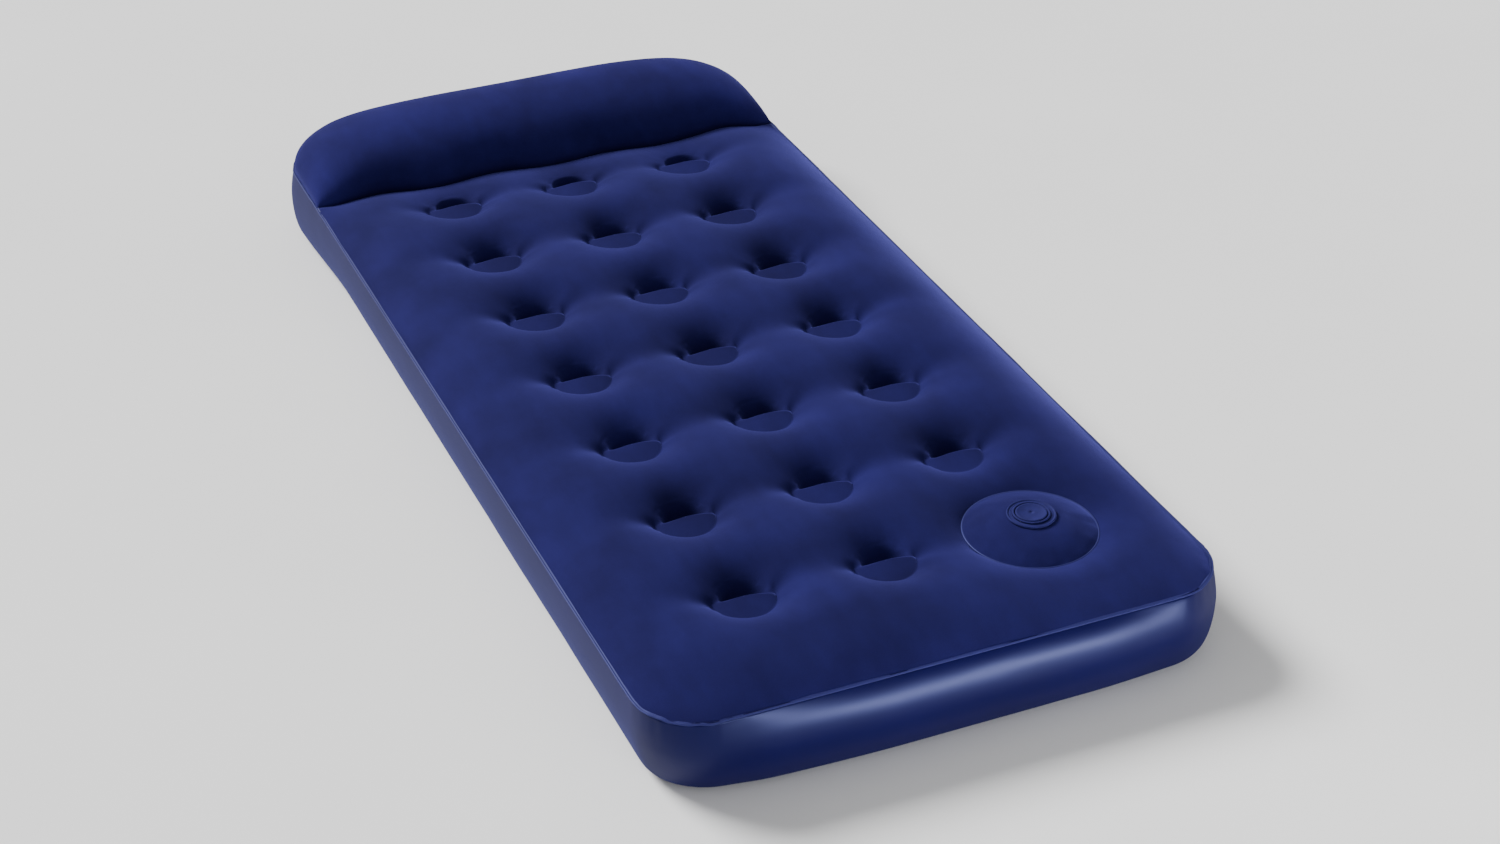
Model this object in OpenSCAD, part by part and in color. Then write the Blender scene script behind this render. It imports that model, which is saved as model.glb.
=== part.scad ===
// Single air bed: flocked top on coil beams, raised pillow, foot pump built into the top
// and a screw valve at the head end. +X is the pump side, +Y is the pillow end, Z = 0 is the floor.

/* [Bed] */
// Distance between the foot seam and the head seam
seam_l = 1862; // [1780:1:1950]
// Distance between the two side seams
seam_w = 864; // [820:1:900]
// Height of the top weld seam above the floor
seam_z = 125; // [115:1:140]
// Height of the sleeping surface between the dimples
crown_z = 157; // [150:1:175]
// How far the side wall swells out past the seam
wall_bulge = 10; // [6:1:16]
// Radius of the two foot corners, measured at the seam
foot_corner_r = 92; // [86:1:130]
// Thickness of every sheet
skin = 2; // [1.6:0.1:2.5]

/* [Pillow] */
// Distance from the foot seam to the crease in front of the pillow
crease_from_foot = 1593; // [1580:1:1620]
// Height of the top of the pillow
pillow_z = 215; // [190:1:230]

/* [Coil beams] */
// Number of rows along the bed
rows = 7; // [7:1:7]
// Spacing of the rows
row_pitch = 210; // [200:1:212]
// Spacing of the three columns
col_pitch = 214; // [205:1:220]
// Distance from the foot seam to the nearest row
first_row = 227; // [220:1:235]
// Radius of the round weld at each end of a coil beam
weld_r = 42; // [36:1:46]
// Radius at which a dimple meets the sleeping surface
dimple_r = 78; // [70:1:86]
// Depth of a dimple
dimple_depth = 22; // [16:1:26]
// Outer radius of a coil beam
coil_r = 38; // [30:1:40]
// Radius of the air holes in a coil beam
coil_hole_r = 12; // [8:1:16]

/* [Foot pump] */
// Distance of the pump from the long centre line
pump_x = 226; // [215:1:230]
// Distance of the pump from the foot seam
pump_from_foot = 219; // [212:1:226]
// Radius of the weld ring round the pump
pump_r = 97; // [90:1:100]
// Height of the dome above its weld ring
dome_rise = 27; // [24:1:36]
// Travel of the dome when it is trodden on
pump_travel = 45; // [30:1:50]
// Radius of the well under the dome
well_r = 90; // [84:1:92]
// Radius of the moulded ring round the intake
intake_r = 36; // [32:1:40]
// Radius of the intake plug
plug_r = 23; // [20:1:24]

/* [Screw valve] */
// Distance of the valve from the long centre line, on the head wall
valve_x = -250; // [-280:1:-200]
// Height of the valve
valve_z = 68; // [64:1:72]
// Inner radius of the valve neck
neck_r = 20; // [18:0.5:20]
// Outer radius of the round patch that welds the valve to the wall
patch_r = 38; // [36:1:42]
// Bore of the screw insert, which an air pump's nozzle enters
nozzle_r = 14; // [12:0.5:15]

/* [Hidden] */
$fn = 96;
eps = 0.01;
run = 0.3;          // gap left between pieces that move past each other
wall_r = 150;       // main radius of the wall's section
heel_r = 30;        // radius where the wall turns under
hem = 8;            // flat hem where the wall laps under the bottom sheet
seam_t = 4;         // thickness of the top seam's flange
seam_in = 6;        // how far the flange reaches in from the seam line
seam_out = 1.5;     // how far it stands out
strip_t = 1.5;      // thickness of the bottom seam's weld strip
crease_w = 8;       // width of the crease's weld strip
crease_t = 3;       // its thickness
edge_w = 80;        // width of the rounded shoulder inside the top seam
crease_r = 28;      // radius with which the top rolls down into the crease
web_gap = 80;       // gap between the pillow beam and each side seam
web_hole_r = 20;    // radius of the air holes in the pillow beam
coil_t = 1.5;       // thickness of a coil beam's tube
ring_depth = 24;    // how far the pump's weld ring lies below the sleeping surface
ring_w = 7;         // width of the pump's weld ring
foam_left = 30;     // depth of the well beyond the dome's travel
foam_gap = 1;       // gap between the foam and the skins round it
bore_r = 11;        // radius of the intake bore
stem_l = 14;        // length of the tube under the intake plate
plate_t = 1.6;      // thickness of the intake plate
collar_w = 3;       // width of the collar round the plug
plug_t = 3;         // thickness of the plug
outlet_r = 7;       // radius of the outlet at the bottom of the well
outlet_l = 4;       // how far the outlet stands out below the well
flap_t = 1.2;       // thickness of the rubber flaps
flap_tail = 2;      // how far a flap reaches past its round leaf to the hinge
neck_t = 4;         // wall of the valve neck
neck_out = 2;       // how far the neck stands out of the wall
neck_in = 14;       // how far it reaches inside
patch_t = 2.5;      // thickness of the valve's patch
seal_t = 1.4;       // thickness of the valve's rubber ring
head_t = 4;         // thickness of the insert's grip head
barrel_in = 12;     // depth of the insert's barrel
web_t = 4;          // depth of the spoked end of the barrel
disc_t = 1.5;       // thickness of the one-way disc
cap_t = 3;          // thickness of the valve cap
cap_seat = 2.5;     // depth of the cap's seat in the insert's head
strap_l = 9;        // length of the cap's strap
strap_w = 6;        // width of the strap

head_z = neck_out + seal_t + 2 * run;
seat_r = nozzle_r + 2.5;
cap_z = head_z + head_t + run;
valve_out = cap_z + cap_t;
half_w = seam_w / 2;
total_l = seam_l + 2 * wall_bulge + valve_out;
y_foot = -total_l / 2 + wall_bulge;
y_head = y_foot + seam_l;
y_crease = y_foot + crease_from_foot;
head_corner_r = (y_head - y_crease) / 2;
y_pillow = y_crease + head_corner_r;
z_sheet = seam_z + seam_t / 2;
weld_z = crown_z - dimple_depth;
pump_y = y_foot + pump_from_foot;
pump_dish_r = pump_r + ring_depth + 2;
ring_z = crown_z - ring_depth;
well_z = ring_z - pump_travel - foam_left;
wall_mid_z = valve_z;
heel_angle = asin((wall_mid_z - heel_r) / (wall_r - heel_r));
heel_u = wall_bulge - wall_r + (wall_r - heel_r) * cos(heel_angle);
pillow_rise = pillow_z - z_sheet;
dome_hole_r = intake_r - 6;
intake_z = ring_z + dome_rise - arc_drop(pump_r, dome_rise, dome_hole_r) + run;
valve_y = y_head + wall_bulge;

function row_y(row) = y_foot + first_row + (rows - row) * row_pitch;
function column_x(col) = (col - 1) * col_pitch;
function arc_r(w, h) = (w * w + h * h) / (2 * h);
function arc_drop(w, h, x) = arc_r(w, h) - sqrt(pow(arc_r(w, h), 2) - x * x);

COLUMNS = ["left", "mid", "right"];
COILS = [for (row = [1:rows], col = [0:2]) if (!(row == rows && col == 2)) [row, col]];
function coil_name(c) = str("coil_beam_row", c[0], "_", COLUMNS[c[1]]);

// --- Profiles ---------------------------------------------------------------------------------

// Area under an arc that starts level at (0, h) and falls to (w, 0)
module arc_fill(w, h) {
    r = arc_r(w, h);
    intersection() {
        translate([0, h - r]) circle(r, $fn = 180);
        square([w, h]);
    }
}

// Sheet of thickness t that lies under the same arc
module arc_band(w, h, t) {
    r = arc_r(w, h);
    intersection() {
        translate([0, h - r]) difference() {
            circle(r, $fn = 180);
            circle(r - t, $fn = 180);
        }
        square([w, h]);
    }
}

// Wedge of directions from a0 to a1 degrees, less than 90 degrees apart, out to a radius r
module wedge(r, a0, a1) {
    polygon([[0, 0], for (a = [a0, (a0 + a1) / 2, a1]) 1.5 * r * [cos(a), sin(a)]]);
}

// Section of the side wall: x is the distance out from the seam line, y is the height.
// shift moves the whole skin inwards and t is its thickness.
module wall_section(shift = 0, t = skin) {
    intersection() {
        translate([wall_bulge - wall_r, wall_mid_z]) intersection() {
            difference() {
                circle(wall_r - shift, $fn = 180);
                circle(wall_r - shift - t, $fn = 180);
            }
            wedge(wall_r, -heel_angle, 45);
        }
        square([2 * wall_r, 2 * (seam_z - seam_t / 2)], center = true);
    }
}

// The wall's heel, which turns under from the wall to the flat hem
module heel_section() {
    translate([heel_u, heel_r]) intersection() {
        difference() {
            circle(heel_r);
            circle(heel_r - skin);
        }
        wedge(heel_r, -90, -heel_angle);
    }
    translate([heel_u - hem, 0]) square([hem, skin]);
}

// --- Sweeps round the bed ---------------------------------------------------------------------

// Straight run of a profile along Y, with the profile's x pointing out to +X
module run_along(y_end, length) {
    translate([0, y_end, 0]) rotate([90, 0, 0]) linear_extrude(length) children();
}

// Both long sides, from the foot corner up to y_end
module side_runs(y_end) {
    for (s = [0, 1]) mirror([s, 0, 0])
        translate([half_w, 0, 0]) run_along(y_end, y_end - y_foot - foot_corner_r) children();
}

// The foot end with its two corners
module foot_run() {
    straight = seam_w - 2 * foot_corner_r;
    translate([straight / 2, y_foot, 0]) rotate([0, 0, -90]) run_along(0, straight) children();
    for (s = [0, 1]) mirror([s, 0, 0])
        translate([half_w - foot_corner_r, y_foot + foot_corner_r, 0])
            rotate([0, 0, -90]) rotate_extrude(angle = 90) translate([foot_corner_r, 0]) children();
}

// The head end with its two corners
module head_run() {
    straight = seam_w - 2 * head_corner_r;
    translate([-straight / 2, y_head, 0]) rotate([0, 0, 90]) run_along(0, straight) children();
    for (s = [0, 1]) mirror([s, 0, 0])
        translate([half_w - head_corner_r, y_head - head_corner_r, 0])
            rotate_extrude(angle = 90) translate([head_corner_r, 0]) children();
}

// A profile swept all round the bed along the seam line
module around() {
    side_runs(y_head - head_corner_r) children();
    foot_run() children();
    head_run() children();
}

// Plan outline of the bed, inset from the seam line
module plan(inset) {
    w = half_w - inset;
    rf = foot_corner_r - inset;
    rh = head_corner_r - inset;
    for (s = [-1, 1]) {
        translate([s * (w - rf), y_foot + inset + rf]) circle(rf);
        translate([s * (w - rh), y_head - inset - rh]) circle(rh);
    }
    translate([-w, y_foot + inset + rf]) square([2 * w, seam_l - 2 * inset - rf - rh]);
    translate([rf - w, y_foot + inset]) square([2 * (w - rf), rf + eps]);
    translate([rh - w, y_head - inset - rh - eps]) square([2 * (w - rh), rh + eps]);
}

// --- Top --------------------------------------------------------------------------------------

// Solid under the sleeping surface, from the foot to the crease, lowered by drop
module crown_solid(drop) {
    rise = crown_z - z_sheet - drop;
    w = edge_w - drop;
    intersection() {
        union() {
            side_runs(y_crease) translate([-edge_w, z_sheet]) arc_fill(w, rise);
            foot_run() translate([-edge_w, z_sheet]) arc_fill(w, rise);
            translate([0, 0, z_sheet]) linear_extrude(rise) intersection() {
                plan(edge_w);
                translate([-half_w, y_foot]) square([seam_w, crease_from_foot]);
            }
        }
        crease_roll(drop);
    }
}

// Everything on the foot side of the roll that ends the sleeping surface at the crease
module crease_roll(drop) {
    roll_y = y_crease - crease_r;
    roll_z = crown_z - crease_r;
    r = crease_r - drop;
    rotate([90, 0, 90]) translate([0, 0, -half_w - 1]) linear_extrude(seam_w + 2) union() {
        translate([y_foot - 1, 0]) square([roll_y - y_foot + 1, crown_z]);
        translate([roll_y - eps, 0]) square([r + eps, roll_z + eps]);
        translate([roll_y, roll_z]) circle(r);
    }
}

// Dished skin that falls from the sleeping surface to a round weld
module dish(outer_r, inner_r, depth) {
    rotate_extrude() {
        translate([outer_r, crown_z - depth]) mirror([1, 0]) arc_band(outer_r - inner_r, depth, skin);
    }
}

module dimple() {
    dish(dimple_r, weld_r, dimple_depth);
    translate([0, 0, weld_z - skin]) cylinder(r = weld_r + 1, h = skin);
}

module top_sheet() {
    color([0.16, 0.19, 0.42]) {
        difference() {
            crown_solid(0);
            translate([0, 0, -eps]) crown_solid(skin);
            for (c = COILS) at_coil(c) cylinder(r = dimple_r, h = crown_z + 1);
            at_pump() cylinder(r = pump_dish_r, h = crown_z + 1);
        }
        for (c = COILS) at_coil(c) dimple();
        at_pump() dish(pump_dish_r, pump_r, ring_depth);
    }
}

// --- Pillow -----------------------------------------------------------------------------------

// Solid pillow with rounded ends, lowered by drop
module pillow_solid(drop) {
    r = head_corner_r - drop;
    h = pillow_rise - drop;
    end_x = half_w - head_corner_r;
    translate([-end_x, y_pillow, z_sheet]) rotate([90, 0, 90]) linear_extrude(2 * end_x) {
        arc_fill(r, h);
        mirror([1, 0]) arc_fill(r, h);
    }
    for (s = [0, 1]) mirror([s, 0, 0]) translate([end_x, y_pillow, z_sheet]) {
        rotate_extrude(angle = 90) arc_fill(r, h);
        intersection() {
            rotate([90, 0, 0]) linear_extrude(r) arc_fill(r, h);
            rotate([90, 0, 90]) linear_extrude(r) mirror([1, 0]) arc_fill(r, h);
        }
    }
}

module pillow_cover() {
    color([0.17, 0.20, 0.44]) difference() {
        pillow_solid(0);
        translate([0, 0, -eps]) pillow_solid(skin);
    }
}

// --- Wall, bottom and seams -------------------------------------------------------------------

module side_wall() {
    color([0.13, 0.12, 0.45]) difference() {
        around() {
            wall_section();
            heel_section();
        }
        at_valve() cylinder(r = neck_r + neck_t, h = 2 * heel_r, center = true);
    }
}

module bottom_sheet() {
    color([0.12, 0.12, 0.38]) linear_extrude(skin) plan(hem - heel_u);
}

// Flange of the top seam, grooved along the middle into a double line
module top_seam() {
    color([0.10, 0.11, 0.34]) around() difference() {
        translate([-seam_in, seam_z - seam_t / 2]) square([seam_in + seam_out, seam_t]);
        translate([seam_out, seam_z]) circle(seam_t / 6, $fn = 24);
    }
}

// Weld strip inside the bed that joins the bottom sheet to the wall's hem
module bottom_seam() {
    color([0.10, 0.10, 0.30]) around() translate([heel_u - 2 * hem, skin]) square([2 * hem - 1, strip_t]);
}

// Weld strip that holds the top sheet, the pillow cover and the pillow beam together
module crease_seam() {
    color([0.10, 0.11, 0.34]) translate([seam_in - half_w, y_crease - crease_w / 2, z_sheet - crease_t])
        cube([seam_w - 2 * seam_in, crease_w, crease_t]);
}

// Upright web under the crease, with air holes through it
module pillow_beam() {
    web_h = z_sheet - crease_t - skin;
    web_w = seam_w - 2 * web_gap;
    color([0.30, 0.32, 0.50]) translate([-web_w / 2, y_crease - skin / 2, skin]) difference() {
        cube([web_w, skin, web_h]);
        for (x = [web_w / 8:web_w / 4:web_w])
            translate([x, -1, web_h / 2]) rotate([-90, 0, 0]) cylinder(r = web_hole_r, h = skin + 2);
    }
}

// --- Coil beams -------------------------------------------------------------------------------

module at_coil(c) {
    translate([column_x(c[1]), row_y(c[0]), 0]) children();
}

// Upright tube welded to the bottom sheet and to the middle of a dimple, with four air holes
module coil_beam() {
    h = weld_z - 2 * skin;
    color([0.30, 0.32, 0.50]) translate([0, 0, skin]) difference() {
        cylinder(r = coil_r, h = h);
        translate([0, 0, -1]) cylinder(r = coil_r - coil_t, h = h + 2);
        for (a = [0, 90]) rotate([90, 0, a]) translate([0, h / 2, -coil_r - 1])
            cylinder(r = coil_hole_r, h = 2 * coil_r + 2);
    }
}

// --- Foot pump --------------------------------------------------------------------------------

module at_pump(z = 0) {
    translate([pump_x, pump_y, z]) children();
}

// Cup that hangs under the dome, with a lip that the weld ring holds
module pump_well() {
    color([0.20, 0.22, 0.45]) at_pump() difference() {
        union() {
            translate([0, 0, well_z]) cylinder(r = well_r, h = ring_z - skin - well_z);
            translate([0, 0, ring_z - 2 * skin]) cylinder(r = pump_r - 1, h = skin);
        }
        translate([0, 0, well_z + skin]) cylinder(r = well_r - skin, h = ring_z);
        translate([0, 0, well_z - 1]) cylinder(r = outlet_r + skin, h = skin + 2);
    }
}

// Round weld where the top sheet, the dome and the well meet
module pump_ring() {
    color([0.12, 0.14, 0.38]) at_pump(ring_z - skin) difference() {
        cylinder(r = pump_r, h = skin);
        translate([0, 0, -1]) cylinder(r = pump_r - ring_w, h = skin + 2);
    }
}

module pump_dome() {
    color([0.18, 0.21, 0.46]) at_pump(ring_z) rotate_extrude() difference() {
        arc_band(pump_r, dome_rise, skin);
        square([dome_hole_r, dome_rise + 1]);
    }
}

// Foam ring that pushes the dome back up
module pump_foam() {
    foam_r = well_r - skin - foam_gap;
    dome_r = arc_r(pump_r, dome_rise);
    color([0.85, 0.80, 0.55]) at_pump() rotate_extrude() difference() {
        union() {
            translate([0, ring_z]) intersection() {
                translate([0, dome_rise - dome_r]) circle(dome_r - skin - foam_gap, $fn = 180);
                square([pump_r, dome_rise]);
            }
            translate([0, well_z + skin]) square([foam_r, ring_z - well_z - skin]);
        }
        square([intake_r, crown_z * 2]);
        translate([foam_r, 0]) square([pump_r, crown_z * 2]);
    }
}

// Moulded ring in the crown of the dome, with the intake bore through it
module intake_body() {
    collar_r = plug_r + 1;
    color([0.16, 0.19, 0.42]) at_pump(intake_z) rotate_extrude() difference() {
        union() {
            translate([bore_r, -stem_l]) square([collar_w, stem_l]);
            translate([bore_r, -skin]) square([dome_hole_r - run - bore_r, skin]);
            translate([bore_r, 0]) square([intake_r - bore_r, plate_t]);
            translate([collar_r, plate_t]) square([collar_w, plug_t]);
            translate([intake_r - collar_w, plate_t]) square([collar_w, plate_t]);
        }
        translate([collar_r + collar_w, plate_t + plug_t]) circle(collar_w / 3, $fn = 24);
    }
}

// Stopper that closes the intake once the bed is full, with a hollow stem that plugs the bore
module intake_plug() {
    seat_z = plate_t + run;
    stem = stem_l - 4;
    color([0.20, 0.23, 0.50]) at_pump(intake_z) rotate_extrude() {
        difference() {
            translate([0, seat_z]) square([plug_r, plug_t]);
            for (r = [plug_r, plug_r / 2]) translate([r, seat_z + plug_t]) circle(1, $fn = 24);
        }
        translate([bore_r - run - skin, seat_z - stem]) square([skin, stem + eps]);
    }
}

// Rubber leaf of a flap valve, hinged at one edge, just under the face that it closes against
module flap_leaf(r) {
    translate([0, 0, -flap_t - run]) {
        cylinder(r = r, h = flap_t);
        translate([-r - flap_tail, -r / 3, 0]) cube([r, 2 * r / 3, flap_t]);
    }
}

// Leaf under the intake bore: air goes down into the well but not back
module intake_flap() {
    color([0.10, 0.10, 0.12]) at_pump(intake_z - stem_l) flap_leaf(bore_r + skin);
}

// Ring in the floor of the well, where air leaves for the bed
module outlet_seat() {
    color([0.16, 0.19, 0.42]) at_pump(well_z) difference() {
        union() {
            translate([0, 0, -outlet_l]) cylinder(r = outlet_r + skin, h = outlet_l + skin);
            translate([0, 0, -skin]) cylinder(r = 2 * outlet_r + skin, h = skin);
        }
        translate([0, 0, -outlet_l - 1]) cylinder(r = outlet_r, h = outlet_l + skin + 2);
    }
}

// Leaf under the outlet: air leaves the well but does not come back
module outlet_flap() {
    color([0.10, 0.10, 0.12]) at_pump(well_z - outlet_l) flap_leaf(outlet_r + skin);
}

// --- Screw valve ------------------------------------------------------------------------------

// Frame of the valve on the wall's outer face: z points out of the head wall, y points down
module at_valve() {
    translate([valve_x, valve_y, valve_z]) rotate([-90, 0, 0]) children();
}

// Curved patch welded inside the wall, with the valve neck through the wall
module valve_patch() {
    color([0.14, 0.15, 0.40]) difference() {
        union() {
            intersection() {
                translate([valve_x - patch_r, y_head, 0]) rotate([0, 0, 90]) run_along(0, 2 * patch_r)
                    wall_section(skin, patch_t);
                at_valve() cylinder(r = patch_r, h = 2 * heel_r, center = true);
            }
            at_valve() translate([0, 0, -neck_in]) cylinder(r = neck_r + neck_t, h = neck_in + neck_out);
        }
        at_valve() translate([0, 0, -neck_in - 1]) cylinder(r = neck_r, h = neck_in + neck_out + 2);
    }
}

// Rubber ring between the neck and the head of the insert
module valve_seal() {
    color([0.08, 0.08, 0.09]) at_valve() translate([0, 0, neck_out + run]) difference() {
        cylinder(r = neck_r + neck_t - 1, h = seal_t);
        translate([0, 0, -1]) cylinder(r = neck_r, h = seal_t + 2);
    }
}

// Screw insert: hollow barrel with a spoked inner end, and a grip head with finger notches
module valve_insert() {
    grip_r = neck_r + neck_t + 1;
    spoke_w = 2;
    color([0.22, 0.24, 0.50]) at_valve() {
        difference() {
            union() {
                translate([0, 0, -barrel_in]) cylinder(r = neck_r - run, h = barrel_in + head_z + eps);
                translate([0, 0, head_z]) cylinder(r = grip_r, h = head_t);
            }
            translate([0, 0, web_t - barrel_in]) cylinder(r = nozzle_r, h = 2 * barrel_in);
            translate([0, 0, head_z + head_t - cap_seat]) cylinder(r = seat_r, h = 2 * cap_seat);
            translate([0, 0, -barrel_in - 1]) cylinder(r = nozzle_r - spoke_w, h = 2 * barrel_in);
            for (a = [15:30:345]) rotate([0, 0, a]) translate([grip_r + 1, 0, 0])
                cylinder(r = 2, h = 2 * barrel_in, $fn = 24);
        }
        for (a = [0, 60, 120]) rotate([0, 0, a]) translate([-nozzle_r, -spoke_w / 2, -barrel_in])
            cube([2 * nozzle_r, spoke_w, spoke_w]);
    }
}

// One-way rubber disc on the inner end of the insert
module valve_disc() {
    color([0.10, 0.10, 0.12]) at_valve() translate([0, 0, -barrel_in - disc_t - run])
        cylinder(r = neck_r - 2, h = disc_t);
}

// Cap that closes the insert: a lid with a shallow rim, and a finger tab on its upper edge
module valve_cap() {
    rim_r = seat_r - 0.5;
    rim_l = cap_seat - 0.5;
    color([0.20, 0.22, 0.48]) at_valve() translate([0, 0, cap_z]) {
        cylinder(r = neck_r + 1, h = cap_t);
        translate([0, -neck_r, 0]) cylinder(r = strap_w, h = cap_t);
        translate([0, 0, -rim_l]) difference() {
            cylinder(r = rim_r, h = rim_l + eps);
            translate([0, 0, -1]) cylinder(r = rim_r - skin, h = rim_l);
        }
    }
}

// Thin strap that ties the cap's lower edge to the head of the insert
module valve_strap() {
    color([0.18, 0.20, 0.46]) at_valve() translate([-strap_w / 2, neck_r + 1 - eps, cap_z])
        cube([strap_w, strap_l, flap_t]);
}

// --- Assembly ---------------------------------------------------------------------------------

top_sheet();
pillow_cover();
side_wall();
bottom_sheet();
top_seam();
bottom_seam();
crease_seam();
pillow_beam();
for (c = COILS)
    at_coil(c) coil_beam();
pump_well();
pump_ring();
pump_dome();
pump_foam();
intake_body();
intake_plug();
intake_flap();
outlet_seat();
outlet_flap();
valve_patch();
valve_seal();
valve_insert();
valve_disc();
valve_cap();
valve_strap();
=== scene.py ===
"""Flocked air bed: inflated skins, welds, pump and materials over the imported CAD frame."""

import math

import bpy
import numpy as np
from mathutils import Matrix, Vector


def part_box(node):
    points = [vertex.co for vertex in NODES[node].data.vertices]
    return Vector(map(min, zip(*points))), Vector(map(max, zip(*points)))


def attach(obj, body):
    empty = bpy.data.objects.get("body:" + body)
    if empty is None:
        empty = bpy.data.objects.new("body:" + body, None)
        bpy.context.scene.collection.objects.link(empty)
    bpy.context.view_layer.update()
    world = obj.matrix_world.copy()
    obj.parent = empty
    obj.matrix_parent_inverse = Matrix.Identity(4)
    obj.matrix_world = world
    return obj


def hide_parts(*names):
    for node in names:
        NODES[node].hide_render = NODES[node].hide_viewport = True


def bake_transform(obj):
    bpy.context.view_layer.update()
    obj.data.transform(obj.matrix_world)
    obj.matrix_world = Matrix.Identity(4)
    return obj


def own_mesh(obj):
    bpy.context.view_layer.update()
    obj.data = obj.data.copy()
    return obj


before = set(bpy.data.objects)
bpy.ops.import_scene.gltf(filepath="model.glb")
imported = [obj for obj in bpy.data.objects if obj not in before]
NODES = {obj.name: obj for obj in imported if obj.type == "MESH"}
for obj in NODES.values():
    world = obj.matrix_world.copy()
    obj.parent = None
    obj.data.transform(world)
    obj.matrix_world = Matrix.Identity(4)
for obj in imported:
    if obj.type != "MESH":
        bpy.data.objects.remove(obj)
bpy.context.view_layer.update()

# --- Dimensions taken from the frame ----------------------------------------------------------

TOP_LO, TOP_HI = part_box("top_sheet")
PILLOW_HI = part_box("pillow_cover")[1]
DOME_LO, DOME_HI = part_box("pump_dome")
RING_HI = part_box("pump_ring")[1]

HALF_W = TOP_HI[0]
Y_FOOT = TOP_LO[1]
Y_CREASE = TOP_HI[1]
Y_HEAD = PILLOW_HI[1]
SEAM_Z = TOP_LO[2]
PILLOW_Z = PILLOW_HI[2]

ROWS = 7
COLUMNS = ("left", "mid", "right")


def coil_centre(row, column):
    """Plan position of one coil beam."""
    lo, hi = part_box(f"coil_beam_row{row}_{column}")
    return (lo[0] + hi[0]) / 2, (lo[1] + hi[1]) / 2


COIL_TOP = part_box("coil_beam_row1_mid")[1][2]
PUMP_X = (DOME_LO[0] + DOME_HI[0]) / 2
PUMP_Y = (DOME_LO[1] + DOME_HI[1]) / 2
PUMP_R = (DOME_HI[0] - DOME_LO[0]) / 2
PUMP_Z = RING_HI[2]

COL_X = [coil_centre(1, c)[0] for c in COLUMNS]
ROW_Y = [coil_centre(r, "left")[1] for r in range(1, ROWS + 1)]
PITCH_X = COL_X[1] - COL_X[0]
PITCH_Y = ROW_Y[0] - ROW_Y[1]

FOOT_R = 0.092
HEAD_R = (Y_HEAD - Y_CREASE) / 2
SHEET_T = 0.0012

# Plan distances within which a mesh point counts as on the seam, or on any other line
AT_SEAM = 1e-4
ON_LINE = 1e-6

# --- Shape of the inflated skins, in metres ---------------------------------------------------

WELD_R = 0.0445
WELD_SHIFT = (-0.002, -0.006)
WELD_Z = COIL_TOP + 0.002
CROWN_RISE = 0.0320
CROWN_POWER = 0.98
VALLEY = 0.0030
VALLEY_WIDTH = 0.034
VALLEY_CLEAR = 0.035
PLEAT = 0.0065
PUCKER = 0.0010
CREASE_REACH = 0.030
CREASE_END = 0.05

# A dimple's ridge, and the pocket behind it where the skin hangs into the coil beam
RIDGE = 0.0080
RIDGE_FALL = 0.0055
POCKET = 0.017
POCKET_R = 0.0352

PILLOW_POWER = 0.47

WALL_TOP = SEAM_Z - 0.0015
WALL_FOOT = 0.0012
HEM_EDGE = 0.0338


# --- Small helpers ----------------------------------------------------------------------------


def smooth(t):
    """Smooth step from 0 to 1."""
    t = np.clip(t, 0.0, 1.0)
    return t * t * (3 - 2 * t)


def value_noise(x, y, seed, octaves=3):
    """Smooth two-dimensional noise in -1 to 1, the same on every run."""
    total = np.zeros(np.broadcast(x, y).shape)
    gain = 1.0
    rng = np.random.default_rng(seed)
    for octave in range(octaves):
        table = rng.uniform(-1, 1, (64, 64))
        u = x * 2**octave + 11.3 * octave
        v = y * 2**octave + 5.7 * octave
        i = np.floor(u).astype(int)
        j = np.floor(v).astype(int)
        fu = smooth(u - i)
        fv = smooth(v - j)
        a = table[i % 64, j % 64]
        b = table[(i + 1) % 64, j % 64]
        c = table[i % 64, (j + 1) % 64]
        d = table[(i + 1) % 64, (j + 1) % 64]
        total += gain * ((a * (1 - fu) + b * fu) * (1 - fv) + (c * (1 - fu) + d * fu) * fv)
        gain *= 0.5
    return total / 1.75


def add_mesh(name, verts, faces, material):
    """A smooth-shaded mesh object in the scene."""
    mesh = bpy.data.meshes.new(name)
    mesh.from_pydata([tuple(v) for v in verts], [], [tuple(f) for f in faces])
    mesh.validate()
    mesh.update()
    mesh.polygons.foreach_set("use_smooth", [True] * len(mesh.polygons))
    obj = bpy.data.objects.new(name, mesh)
    bpy.context.scene.collection.objects.link(obj)
    mesh.materials.append(material)
    return obj


def grid_faces(rows, cols, closed=False):
    """Quads of a grid of points in row order; closed joins the last column to the first."""
    faces = []
    last = cols if closed else cols - 1
    for i in range(rows - 1):
        for j in range(last):
            k = (j + 1) % cols
            faces.append((i * cols + j, i * cols + k, (i + 1) * cols + k, (i + 1) * cols + j))
    return faces


def tube_faces(rows, cols):
    """Quads of a closed section swept round a closed loop, one row for each section point."""
    faces = grid_faces(rows, cols, closed=True)
    last = (rows - 1) * cols
    for k in range(cols):
        k2 = (k + 1) % cols
        faces.append((last + k, last + k2, k2, k))
    return faces


def lathe(name, profile, material, segments):
    """A closed outline of (radius, height) points turned about the pump's axis."""
    centre = Vector((PUMP_X, PUMP_Y, 0))
    points = []
    for r, h in profile:
        for k in range(segments):
            a = 2 * math.pi * k / segments
            points.append(Vector((r * math.cos(a), r * math.sin(a), h)) + centre)
    return add_mesh(name, points, tube_faces(len(profile), segments), material)


# --- Materials --------------------------------------------------------------------------------


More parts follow.
